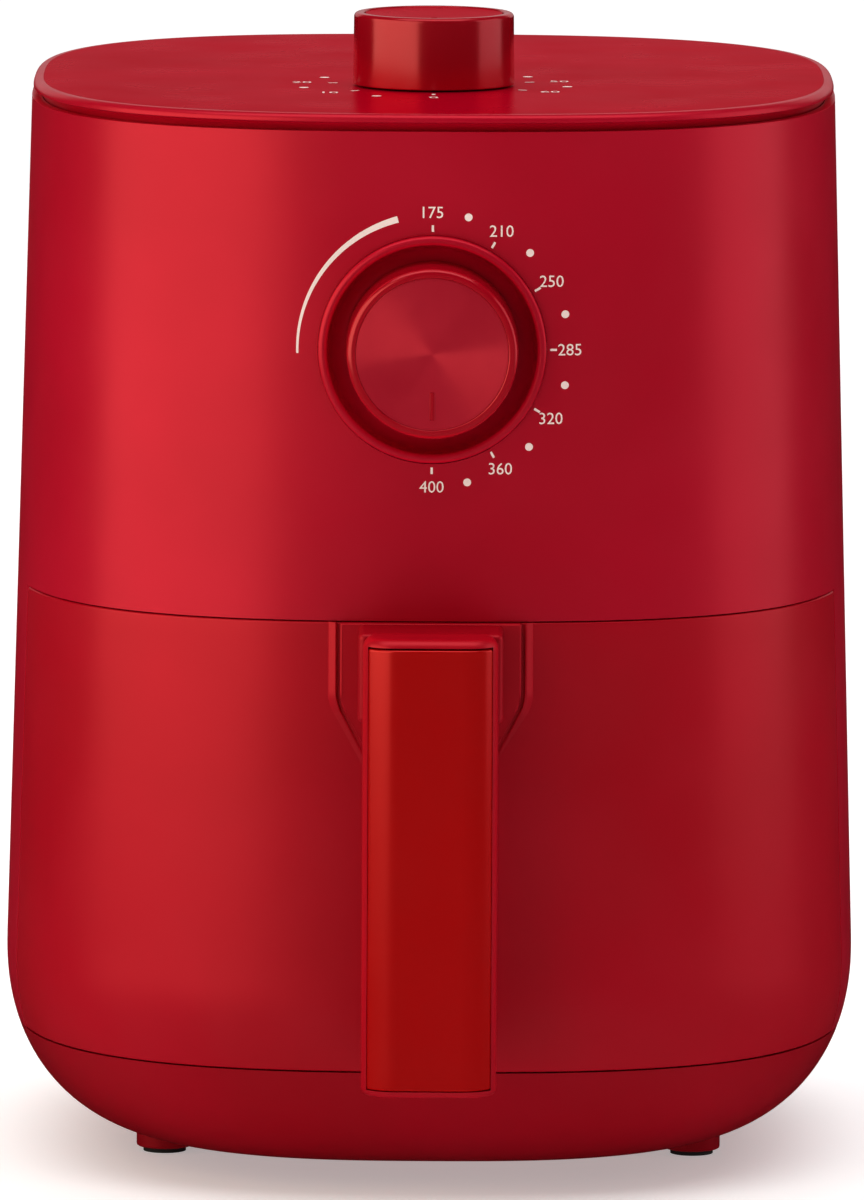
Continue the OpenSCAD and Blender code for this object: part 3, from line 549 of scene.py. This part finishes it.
def base_tub():
    """Bowl under the seam, with a well for each screw; its rows lie closest where it curves most."""
    outer_h, inner_h = TUB_TOP_Z - UNDERSIDE_Z, TUB_TOP_Z - UNDERSIDE_Z - WALL
    outer = [UNDERSIDE_Z + outer_h * (k / 26) ** 1.9 for k in range(27)]
    inner = [UNDERSIDE_Z + WALL + inner_h * (k / 16) ** 1.7 for k in range(17)]

    def ring(z, inset):
        return [plan_point(half_width(z) - inset, t, z) for t in round_turns(220)]

    shape = Shape()
    shape.loops([ring(z, 0) for z in outer] + [ring(z, WALL) for z in reversed(inner)])
    tub = raw_object("base_tub_shell", shape)
    for x, y in BOSS_SPOTS:
        cut(tub, prism(circle(BOSS_BORE_R, 30), 0, 20, shifted(x, y)))
    # darker red here is painted shade on the body's underside
    finish_piece(tub, MATS["red_painted_shade"], "housing", "red_shell", ["base_tub"], bevel=0.5)


def base_bosses():
    """The stubs that hold the foot pads, and the bosses that hold the screws."""
    foot = [(0, 3.2), (5.5, 3.2), (5.5, 1.25), (5.7, 1.2), (6.5, 1.2), (6.9, 1.45), (7, 1.9), (7, 8.8),
            (0, 8.8)]
    boss = [(2, 22), (BOSS_BORE_R, 22), (BOSS_BORE_R, 6), (5.6, 6), (5.6, 29.4), (2, 29.4), (2, 22)]
    shape = Shape()
    for spots, profile in ((FOOT_SPOTS, foot), (BOSS_SPOTS, boss)):
        for x, y in spots:
            shape.lathe(profile, 48, shifted(x, y))
    # darker red here is painted shade, as on the base
    piece("base_bosses", shape, MATS["red_painted_shade"], "housing", "red_shell")


def crown_z(d):
    """Height of the lid's top at a distance d in from its edge: it falls a little towards the edge."""
    return COVER_Z - CROWN_FALL * (1 - (d - 1.2) / CROWN_REACH) ** 2


def lid_ring(profile):
    """The lid's plan repeated at each distance in from its edge and height of a profile."""
    a = RIM_W / 2 - COVER_INSET
    return [[plan_point(a - d, t, z) for t in round_turns(260)] for d, z in profile]


def lid_plate():
    """The lid's top, with a skirt that reaches down inside the housing."""
    skirt_z, rebate = COVER_LOW - SKIRT_H, EDGE_IN + EDGE_GAP
    profile = [(SKIRT_IN, COVER_LOW), (SKIRT_IN, skirt_z), (SKIRT_OUT, skirt_z), (SKIRT_OUT, LEDGE_Z),
               (rebate, LEDGE_Z)]
    profile += [(d, crown_z(d)) for d in (rebate, 3, 5, 7.5, 10.5, 14, 17.5, 21)]
    shape = Shape()
    shape.loops(lid_ring(profile))
    piece("lid_plate", shape, MATS["red_lid"], "housing", "red_shell", ["top_cover"])


def lid_edge():
    """The lid's rounded edge, undercut over the dark groove, with a lip behind the groove."""
    lip_z, back, floor_z = COVER_LOW - 2.2, SKIRT_OUT - EDGE_GAP, LEDGE_Z + EDGE_GAP
    profile = [(EDGE_IN, floor_z), (back, floor_z), (back, lip_z), (2.5, lip_z), (2.3, COVER_LOW - 1.1)]
    profile += [(1.6, COVER_LOW - 0.15), (1.2, COVER_LOW), (0.6, COVER_LOW + 0.12)]
    profile += arc(1.8, COVER_Z - 1.9, 1.65, 188, 97, 12)
    profile += [(d, crown_z(d)) for d in (2.1, EDGE_IN)]
    rows = lid_ring(profile)
    shape = Shape()
    shape.grid(rows + rows[:1], wrap=True)
    piece("lid_edge", shape, MATS["red_edge"], "housing", "red_shell")


def dial_bezel():
    """Ring round the thermostat's dial: a half-round lip and a dish behind the dial."""
    r, lip_r, bore_r, back = BEZEL_R, 1.15, 4, -8.4
    lip = [(r - lip_r + lip_r * math.cos(t), 0.25 + lip_r * math.sin(t)) for t in spread(0, math.pi, 10)]
    dish = [(r - 2.35, -0.6), (r - 2.6, -2.2), (r - 3.1, -3.8), (r - 4, -5), (r - 5.4, -5.8), (r - 7, -6.2)]
    shape = Shape()
    shape.lathe([(bore_r, back), (r, back)] + lip + dish + [(bore_r, -6.2), (bore_r, back)], 160,
                facing_front(surface_y(0, DIAL_Z), DIAL_Z))
    piece("dial_ring", shape, MATS["red_shell"], "housing", "red_shell", ["dial_bezel"])


outer_housing()
soffit()
base_tub()
base_bosses()
lid_plate()
lid_edge()
dial_bezel()


# ---- Knobs ----
ON_LID = shifted(0, TIMER_Y)
ON_DIAL = facing_front(surface_y(0, DIAL_Z), DIAL_Z)


def timer_dial():
    """Tall knob with a rounded rim and a sunk top."""
    r, low, top = TIMER_R, COVER_Z + 0.5, TIMER_TOP
    profile = [(6.5, low + 12), (r - 2, low + 12), (r - 2, low), (r - 0.1, low), (r, low + 0.3),
               (r - 0.1, low + 6), (r - 0.22, top - 1.2)]
    profile += arc(r - 1.3, top - 1.1, 1.08, 5, 90, 5)
    profile += [(r - 2.2, top)] + arc(r - 2.2, top - 0.5, 0.5, 90, 175, 5)
    profile += [(r - 2.75, top - 0.9), (0, top - 0.9)]
    shape = Shape()
    shape.lathe(profile, 128, ON_LID)
    piece("timer_dial", shape, MATS["red_knob"], "timer_dial", "red_knob", ["timer_knob"])


def timer_dial_inset():
    """Dished disc in the knob's top, with its pointer bar."""
    r, top = TIMER_R - 3.1, TIMER_TOP
    dish = [(r * k / 12, top - 0.5 + 0.24 * (k / 12) ** 2) for k in range(12, -1, -1)]
    shape = Shape()
    shape.lathe([(0, top - 0.86), (r, top - 0.86)] + dish, 96, ON_LID)
    shape.prism(rectangle(-0.7, 0.7, 1.2 - r, 9.2 - r), top - 0.45, top - 0.02, ON_LID)
    piece("timer_dial_inset", shape, MATS["red_lid"], "timer_dial", "red_knob", ["timer_knob_cap"])


def thermostat_dial_cap():
    """Body of the dial: a foot flange in the bezel's dish, a drafted side and a rounded rim."""
    r, out = DIAL_R, DIAL_OUT
    profile = [(6.5, out - 3), (r - 2, out - 3), (r - 2, -5.6), (r + 0.5, -5.6), (r + 0.6, -5.4),
               (r + 0.6, -4.6), (r + 0.15, out - 1.6)]
    profile += arc(r - 1.25, out - 1.3, 1.3, 5, 90, 6)
    profile += [(r - 1.75, out)] + arc(r - 1.75, out - 0.3, 0.3, 90, 170, 3)
    profile += [(r - 2.05, out - 0.7), (0, out - 0.7)]
    shape = Shape()
    shape.lathe(profile, 160, ON_DIAL)
    piece("thermostat_dial_cap", shape, MATS["red_knob"], "thermostat_dial", "red_knob", ["thermostat_knob"])


def thermostat_dial_disc():
    """Metal face of the dial, with the fine rings that the lathe leaves."""
    r, face = DIAL_FACE_R, DIAL_OUT - 0.22
    pitch, depth = 0.4, 0.018
    rings = [(k * pitch, face - depth * (k % 2)) for k in range(int((r - 0.5) / pitch), 0, -1)]
    rim = [(0, DIAL_OUT - 0.65), (r, DIAL_OUT - 0.65), (r, DIAL_OUT - 0.3), (r - 0.1, face)]
    shape = Shape()
    shape.lathe(rim + rings + [(0, face)], 180, ON_DIAL)
    piece("thermostat_dial_disc", shape, MATS["spun"], "thermostat_dial", "red_spun",
          ["thermostat_knob_face"])


def thermostat_pointer():
    shape = prism(rectangle(-0.5, 0.5, -16, -9.2), DIAL_OUT - 0.3, DIAL_OUT, ON_DIAL)
    piece("thermostat_pointer", shape, MATS["red_knob"], "thermostat_dial", "red_knob", bevel=0.12,
          segments=2)


timer_dial()
timer_dial_inset()
thermostat_dial_cap()
thermostat_dial_disc()
thermostat_pointer()


# ---- Drawer ----


def drawer_shell():
    """The drawer's bottom, wrapped wall and top ledge, as one closed section swept from seam to seam."""
    levels = [DRAWER_LOW] + spread(34, 60, 16) + spread(64, DRAWER_HIGH, 22)
    inner = spread(DRAWER_LOW + WALL, 60, 10) + spread(70, DRAWER_HIGH - WALL, 8)

    def wall(zs, inset):
        return [sector(half_width(z) - inset, DRAWER_SEAM_Y, z, True) for z in zs]

    outside, inside = wall(levels, 0), wall(inner, WALL)
    ledge_out = 2.8
    ledge = pan_sector(ledge_out, math.atan2(DRAWER_SEAM_Y, PAN_W / 2 + ledge_out))
    floor_x = plan_x(half_width(DRAWER_LOW + WALL) - WALL, DRAWER_SEAM_Y) - 3
    loops = []
    for i, (px, py) in enumerate(ledge):
        fx = floor_x * (1 - 2 * i / FRONT_COLS)
        loop = [(fx, DRAWER_SEAM_Y, DRAWER_LOW)]
        loop += [row[i] for row in outside]
        loop += [(px, py, DRAWER_HIGH), (px, py, DRAWER_HIGH - WALL)]
        loop += [row[i] for row in reversed(inside)]
        loop += [(fx, DRAWER_SEAM_Y, DRAWER_LOW + WALL)]
        loops.append(loop)
    shape = Shape()
    shape.loops(loops)
    # the drawer's darker red is painted shade
    piece("drawer_shell", shape, MATS["red_drawer"], "drawer", "red_drawer", ["drawer_front"], bevel=1.0)


def surround(out):
    """Outline of the handle's plate, grown by out, from the top right round the lower end to the top left."""
    half, bend = PLATE_HALF + out, PLATE_BEND_Z - 0.25 * out
    end_x, end_z = PLATE_END_X + 0.8 * out, PLATE_END_Z - out
    corners = [(half, DRAWER_HIGH), (half, bend), (end_x, end_z), (-end_x, end_z)]
    rounding = 3.0
    points = [corners[0]]
    for before, here, after in zip(corners, corners[1:], corners[2:]):
        p, h, q = Vector(before), Vector(here), Vector(after)
        a, b = h + (p - h).normalized() * rounding, h + (q - h).normalized() * rounding
        for t in spread(0, 1, 6):
            v = a * (1 - t) ** 2 + h * 2 * t * (1 - t) + b * t**2
            points.append((v.x, v.y))
    return points + [(-x, z) for x, z in reversed(points)]


def proud(z):
    """Share of its height by which the plate's border stands off the drawer's face at z."""
    return max(0.0, min(1.0, (z - PLATE_FADE_Z) / PLATE_FADE_H))


def plate_y(z):
    """Front of the handle's plate: level at the top, sinking into the drawer's face lower down."""
    return surface_y(0, z) + PLATE_SUNK - (PLATE_SUNK + PLATE_PROUD) * proud(z)


def handle_surround():
    """Raised rim on the drawer's face round the handle's plate, fading out at its lower end."""
    root = 0.25
    section = [(3.1, -0.6), (2.9, 0.0), (2.7, 0.16), (1.5, 1.24), (1.25, 1.36), (1.0, 1.3), (0.85, 1.05),
               (0.8, -0.6)]
    rows = [[(x, surface_y(x, z) + root - (rise + root) * proud(z), z) for x, z in surround(out)]
            for out, rise in section]
    shape = Shape()
    shape.loops([list(loop) for loop in zip(*rows)])
    piece("handle_surround", shape, MATS["red_drawer"], "drawer", "red_drawer")


def handle_plate():
    outline = surround(0)
    shape = Shape()
    shape.loops([[(x, surface_y(x, z) + 1.5, z) for x, z in outline],
                 [(x, plate_y(z), z) for x, z in outline]])
    piece("handle_plate", shape, MATS["red_drawer"], "drawer", "red_drawer", ["handle_bracket"], bevel=1.0)


def handle_neck():
    """Block between the plate and the grip."""
    outline = rectangle(-NECK_HALF, NECK_HALF, HANDLE_TOP - NECK_H, HANDLE_TOP)
    shape = Shape()
    shape.loops([[(x, y, z) for x, z in outline] for y in (HANDLE_BACK, NECK_ROOT_Y)])
    # darker red here is painted shade under the housing's overhang
    piece("handle_neck", shape, MATS["red_painted_shade"], "drawer", "red_drawer", bevel=1.5, segments=5)


def grip_outline(half, front, back, r_front, r_back):
    points = arc(half - r_back, back - r_back, r_back, 0, 90, 8)
    points += arc(r_back - half, back - r_back, r_back, 90, 180, 8)
    points += arc(r_front - half, front + r_front, r_front, 180, 270, 10)
    return points + arc(half - r_front, front + r_front, r_front, 270, 360, 10)


def handle_grip():
    """Upright bar with rounded ends, and a pocket in its front for the strip."""
    front, back = HANDLE_FRONT + 0.3, HANDLE_BACK - 0.05
    low_r, top_r = 1.6, 2.8
    corner_front, corner_back = 7.5, 3.6
    ends = [(low_r * (1 - math.sin(t)), HANDLE_LOW + low_r * (1 - math.cos(t)))
            for t in spread(0, math.pi / 2, 5)]
    ends += [(top_r * (1 - math.cos(t)), HANDLE_TOP - top_r * (1 - math.sin(t)))
             for t in spread(0, math.pi / 2, 8)]
    rows = []
    for d, z in ends:
        outline = grip_outline(HANDLE_HALF - d, front + d, back, corner_front - d, corner_back - d)
        rows.append([(x, y, z) for x, y in outline])
    shape = Shape()
    shape.loops(rows)
    grip = raw_object("handle_grip", shape)
    cut(grip, prism(rectangle(-15, 15, front - 5, front + 5), HANDLE_LOW + 1.6, HANDLE_TOP - 2.0))
    finish_piece(grip, MATS["red_drawer"], "drawer", "red_drawer", ["handle_frame"], bevel=0.4)


def handle_strip():
    """Strip let into the front of the grip: flat in the middle, with sides that curve back."""
    flat, half, curve, thick = 7.6, 14.85, 9.5, 5.1
    edge = math.asin((half - flat) / curve)
    outline = [(half, HANDLE_FRONT + thick)]
    outline += [(flat + curve * math.sin(t), HANDLE_FRONT + curve * (1 - math.cos(t)))
                for t in spread(edge, 0, 14)]
    outline += [(-x, y) for x, y in reversed(outline)]
    shape = prism(outline, HANDLE_LOW + 1.8, HANDLE_TOP - 2.4)
    piece("handle_strip", shape, MATS["red_handle"], "drawer", "red_handle", ["handle_cover"], bevel=0.6)


def pan_tub():
    """Drawn pan with a rounded bottom edge and a slight draft."""
    bottom_r, reach = 7, 6.4
    outer = [(reach * math.sin(t) - bottom_r, bottom_r - bottom_r * math.cos(t))
             for t in spread(0, math.pi / 2, 7)]
    outer += [(-0.3, 52), (0, PAN_H)]
    inner = [(d - PAN_T, z + PAN_T * max(0, 1 - z / bottom_r)) for d, z in reversed(outer)]
    rows = []
    for out, z in outer + inner:
        hits = [pan_hit(out, t, OVEN_Y) for t in round_turns(200)]
        rows.append([(x, y, PAN_Z + z) for x, y in hits])
    shape = Shape()
    shape.loops(rows)
    piece("pan_tub", shape, MATS["nonstick"], "drawer", "nonstick", ["drawer_pan"], bevel=0.35, segments=2,
          angle=60)


def drawer_lining():
    """Dark wall between the drawer's shell and the pan, with a flange at each seam."""
    low, high = DRAWER_LOW + WALL + 0.1, DRAWER_HIGH - WALL - 0.1
    sides = [pan_sector(out, math.atan2(DRAWER_SEAM_Y, PAN_W / 2 + out)) for out in (0.7, 2.6)]
    shape = Shape()
    shape.loops([[(ax, ay, low), (bx, by, low), (bx, by, high), (ax, ay, high)]
                 for (ax, ay), (bx, by) in zip(*sides)])
    flange_in, flange_out, flange_t = 84.4, 95.7, 2.4
    for x0, x1 in ((-flange_out, -flange_in), (flange_in, flange_out)):
        shape.prism(rectangle(x0, x1, DRAWER_SEAM_Y - flange_t, DRAWER_SEAM_Y), low, high)
    piece("drawer_lining", shape, MATS["dark"], "drawer", "dark_plastic", ["drawer_backing"], bevel=0.3,
          segments=2)


drawer_shell()
handle_surround()
handle_plate()
handle_neck()
handle_grip()
handle_strip()
pan_tub()
drawer_lining()


# ---- Printed scales ----
PRINT_T = 0.05


def digits(text, size):
    """Flat mesh of a number, centred on the origin, in millimetres: its points and faces."""
    curve = bpy.data.curves.new("digits", "FONT")
    curve.body, curve.size = text, size
    curve.align_x, curve.align_y = "CENTER", "CENTER"
    curve.resolution_u = 3
    obj = linked_object("digits", curve)
    graph = bpy.context.evaluated_depsgraph_get()
    mesh = bpy.data.meshes.new_from_object(obj.evaluated_get(graph), depsgraph=graph)
    xs, ys = [v.co.x for v in mesh.vertices], [v.co.y for v in mesh.vertices]
    cx, cy = (min(xs) + max(xs)) / 2, (min(ys) + max(ys)) / 2
    points = [(x - cx, y - cy) for x, y in zip(xs, ys)]
    faces = [list(p.vertices) for p in mesh.polygons]
    bpy.data.objects.remove(obj)
    bpy.data.curves.remove(curve)
    bpy.data.meshes.remove(mesh)
    return points, faces


class Print:
    """Thin flat marks, laid on a surface by a function from a mark's coordinates to a point."""

    def __init__(self, lay):
        self.shape, self.lay = Shape(), lay

    def add(self, points, faces, turn=0.0, at=(0, 0)):
        c, s = math.cos(turn), math.sin(turn)
        base = len(self.shape.verts)
        self.shape.verts.extend(self.lay(at[0] + x * c - y * s, at[1] + x * s + y * c) for x, y in points)
        self.shape.faces.extend([[base + i for i in f] for f in faces])

    def dot(self, at, r):
        count = 24
        self.add(circle(r, count), [list(range(count))], 0, at)

    def tick(self, r, clock, w, h):
        """A short bar that points at the scale's centre."""
        outline = rectangle(-w / 2, w / 2, -h / 2, h / 2)
        self.add(outline, [[0, 1, 2, 3]], -math.radians(clock), polar(r, clock))

    def number(self, text, at, size):
        self.add(*digits(text, size), 0, at)


def polar(r, clock):
    """Position at radius r, clock degrees clockwise from the top."""
    a = math.radians(clock)
    return r * math.sin(a), r * math.cos(a)


def low_heat_stroke(marks):
    """Curved stroke at the low end of the thermostat's scale, which thickens towards its top."""
    r, start, end, steps = 32.6, 268, 345, 60
    points = []
    for t in spread(0, 1, steps):
        clock = start + (end - start) * t
        thick = 0.55 + 1.05 * t**1.3
        points += [polar(r - thick / 2, clock), polar(r + thick / 2, clock)]
    marks.add(points, [[2 * i, 2 * i + 2, 2 * i + 3, 2 * i + 1] for i in range(steps)])


def thermostat_scale():
    marks = Print(lambda u, v: (u, surface_y(u, DIAL_Z + v) - PRINT_T, DIAL_Z + v))
    mark_r, tick_r, step = 33.2, 29.3, 30
    for k, value in enumerate((175, 210, 250, 285, 320, 360, 400)):
        marks.number(str(value), polar(mark_r, step * k), 4.0)
        marks.tick(tick_r, step * k, 0.55, 1.6)
    for k in range(6):
        marks.dot(polar(mark_r, step * k + step / 2), 0.95)
    low_heat_stroke(marks)
    piece("thermostat_scale", marks.shape, MATS["print"], "housing", "white_plastic")


def timer_scale():
    """Minutes from 0 at the front round to 60: numbers with ticks, and dots between them."""
    marks = Print(lambda u, v: (u, TIMER_Y + v, COVER_Z + PRINT_T))
    mark_r, tick_r, step = 33, 25.2, 25
    for k in range(13):
        clock = 180 + step * k
        if k % 2 == 0:
            marks.number(str(5 * k), polar(mark_r, clock), 5.0)
            marks.tick(tick_r, clock, 0.9, 2.4)
        else:
            marks.dot(polar(mark_r, clock), 1.2)
    piece("timer_scale", marks.shape, MATS["print"], "housing", "white_plastic")


thermostat_scale()
timer_scale()


# ---- Floor, light and camera, in metres ----
TARGET = Vector((0.00025, ORIGIN_Y * MM, 0.1335))
FLOOR_HALF, FLOOR_GREY, FLOOR_GLOW = 6.0, 0.86, 0.35
WORLD_STRENGTH = 0.12
CAMERA_DISTANCE, CAMERA_TILT, CAMERA_ROLL = 3.5, math.radians(7.37), math.radians(0.3)
CAMERA_LENS, CAMERA_SENSOR = 420, 36
WARM_WHITE = (1, 0.97, 0.72)


def floor_material():
    """Pale floor with a faint glow, which keeps the object's shadow light."""
    low, high = [FLOOR_GREY * 0.985] * 3, [FLOOR_GREY] * 3
    look = Look("pale floor, lit from below").colour(low, high, 3).rough(0.6, 0.65, 4)
    return look.set(Emission_Color=(1, 1, 1, 1), Emission_Strength=FLOOR_GLOW).mat


def floor():
    mesh = bpy.data.meshes.new("floor")
    corners = rectangle(-FLOOR_HALF, FLOOR_HALF, -FLOOR_HALF, FLOOR_HALF)
    mesh.from_pydata([(x, y, 0) for x, y in corners], [], [[0, 1, 2, 3]])
    obj = linked_object("floor", mesh)
    mesh.materials.append(floor_material())
    obj.visible_glossy = False


def aimed_light(light, azimuth, elevation, distance):
    """Puts a light on a sphere round the target; azimuth counts from the front to the viewer's left."""
    a, e = math.radians(azimuth), math.radians(elevation)
    way = Vector((-math.sin(a) * math.cos(e), -math.cos(a) * math.cos(e), math.sin(e)))
    obj = linked_object(light.name, light)
    obj.location = TARGET + way * distance
    obj.rotation_mode = "QUATERNION"
    obj.rotation_quaternion = (TARGET - obj.location).to_track_quat("-Z", "Y")
    return obj


def softbox(name, azimuth, elevation, distance, size, power, colour=(1, 1, 1)):
    light = bpy.data.lights.new(name, "AREA")
    light.shape, light.size, light.size_y = "RECTANGLE", size[0], size[1]
    light.energy, light.color = power, colour
    aimed_light(light, azimuth, elevation, distance).visible_camera = False


def sun(name, azimuth, elevation, angle, strength):
    """Broad light from afar, which reflections don't show."""
    light = bpy.data.lights.new(name, "SUN")
    light.energy, light.angle = strength, math.radians(angle)
    aimed_light(light, azimuth, elevation, 4).visible_glossy = False


def world():
    scene = bpy.context.scene
    scene.world = bpy.data.worlds.new("studio")
    scene.world.use_nodes = True
    back = scene.world.node_tree.nodes["Background"]
    back.inputs["Color"].default_value = (1, 1, 1, 1)
    back.inputs["Strength"].default_value = WORLD_STRENGTH
    scene.world.cycles_visibility.glossy = False
    scene.view_settings.view_transform = "Standard"


def camera():
    data = bpy.data.cameras.new("camera")
    data.lens, data.sensor_width, data.clip_end = CAMERA_LENS, CAMERA_SENSOR, 50
    obj = linked_object("camera", data)
    way = Vector((0, -math.cos(CAMERA_TILT), math.sin(CAMERA_TILT)))
    obj.location = TARGET + CAMERA_DISTANCE * way
    look_down = Euler((math.pi / 2 - CAMERA_TILT, 0, 0)).to_matrix()
    obj.rotation_euler = (look_down @ Matrix.Rotation(CAMERA_ROLL, 3, "Z")).to_euler()
    bpy.context.scene.camera = obj


floor()
world()
camera()
sun("high light", azimuth=180, elevation=74, angle=95, strength=2.5)
softbox("overhead softbox", azimuth=0, elevation=78, distance=1.9, size=(2.2, 1.3), power=9)
softbox("left softbox", azimuth=58, elevation=17, distance=0.85, size=(1.28, 0.75), power=3.45,
        colour=WARM_WHITE)
softbox("right softbox", azimuth=-88, elevation=17, distance=0.85, size=(0.7, 0.75), power=1.0)
softbox("card behind", azimuth=180, elevation=17, distance=2.2, size=(3.0, 0.9), power=3.4)
